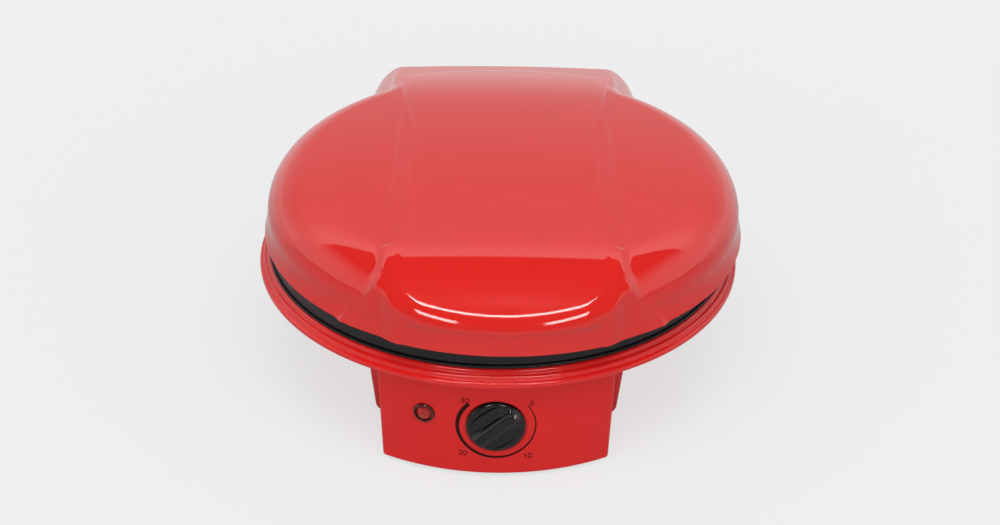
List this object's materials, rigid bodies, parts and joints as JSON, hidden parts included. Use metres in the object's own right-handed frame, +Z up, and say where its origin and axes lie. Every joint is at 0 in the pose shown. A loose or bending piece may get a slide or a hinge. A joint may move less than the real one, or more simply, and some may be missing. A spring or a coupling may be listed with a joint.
{
  "type": "electric pizza maker",
  "caption": "Countertop round baking appliance with a hinged domed lid, a drop-in pan, heated plates and a front timer knob.",
  "frame": {"origin": "centre of the bounding box at the underside of the feet", "axes": "+X to the right as seen from the front, +Y from the timer knob to the hinge, +Z up"},
  "size_m": [0.34, 0.372, 0.157],
  "materials": {
    "lid_red": "high gloss moulded red, faint orange peel",
    "housing_red": "satin gloss moulded red",
    "rim_red": "baked red enamel on pressed steel",
    "nonstick": "black non-stick coating",
    "knob_black": "polished black moulding",
    "mark_white": "pale inlaid mark",
    "dial_print": "dark pad-printed ink of the dial",
    "lens_red": "translucent red lens",
    "neon_glass": "neon lamp glass",
    "bright_steel": "bright rolled steel sheet",
    "zinc": "zinc-plated steel",
    "heater": "oxidised heater tube",
    "cast_metal": "die-cast, lightly blasted",
    "rubber_black": "matt black rubber",
    "plastic_black": "matt black moulding",
    "plastic_white": "white heat-proof moulding"
  },
  "bodies": {
    "base": {"base_bowl": "rim_red", "pedestal": "housing_red", "control_housing": "housing_red", "housing_screws": "zinc", "bottom_cover": "plastic_black", "bottom_screws": "zinc", "rubber_feet": "rubber_black", "bowl_screws": "zinc", "lower_reflector": "bright_steel", "lower_element": "heater", "element_clips": "bright_steel", "baking_pan": "nonstick", "thermostat": "zinc", "thermal_fuse": "plastic_white", "fuse_strap": "bright_steel", "timer_case": "plastic_white", "timer_bell": "bright_steel", "timer_screws": "zinc", "indicator_lens": "lens_red", "indicator_lamp": "neon_glass", "lamp_retainer": "bright_steel", "terminal_block": "plastic_white", "cord_gland": "plastic_black", "cord_clamp": "plastic_black", "hinge_bracket": "cast_metal", "hinge_screws": "zinc", "hinge_pins": "zinc", "pin_clips": "zinc"},
    "knob": {"timer_knob": "knob_black", "knob_pointer": "mark_white", "timer_shaft": "zinc"},
    "lid": {"lid_shell": "lid_red", "upper_plate": "nonstick", "lid_reflector": "bright_steel", "lid_screws": "zinc", "plate_screws": "zinc", "upper_element": "heater", "upper_element_clips": "bright_steel", "lid_thermal_fuse": "plastic_white", "lid_fuse_strap": "bright_steel", "lid_hinge_arms": "cast_metal", "arm_screws": "zinc"}
  },
  "joints": [
    {"name": "lid_hinge", "type": "hinge", "parent": "base", "child": "lid", "pos_m": [0, 0.172, 0.096], "axis": [-1, 0, 0], "range_deg": [0, 100]},
    {"name": "timer_turn", "type": "hinge", "parent": "base", "child": "knob", "pos_m": [0, -0.1712, 0.042], "axis": [0, 1, 0], "range_deg": [0, 270]}
  ]
}
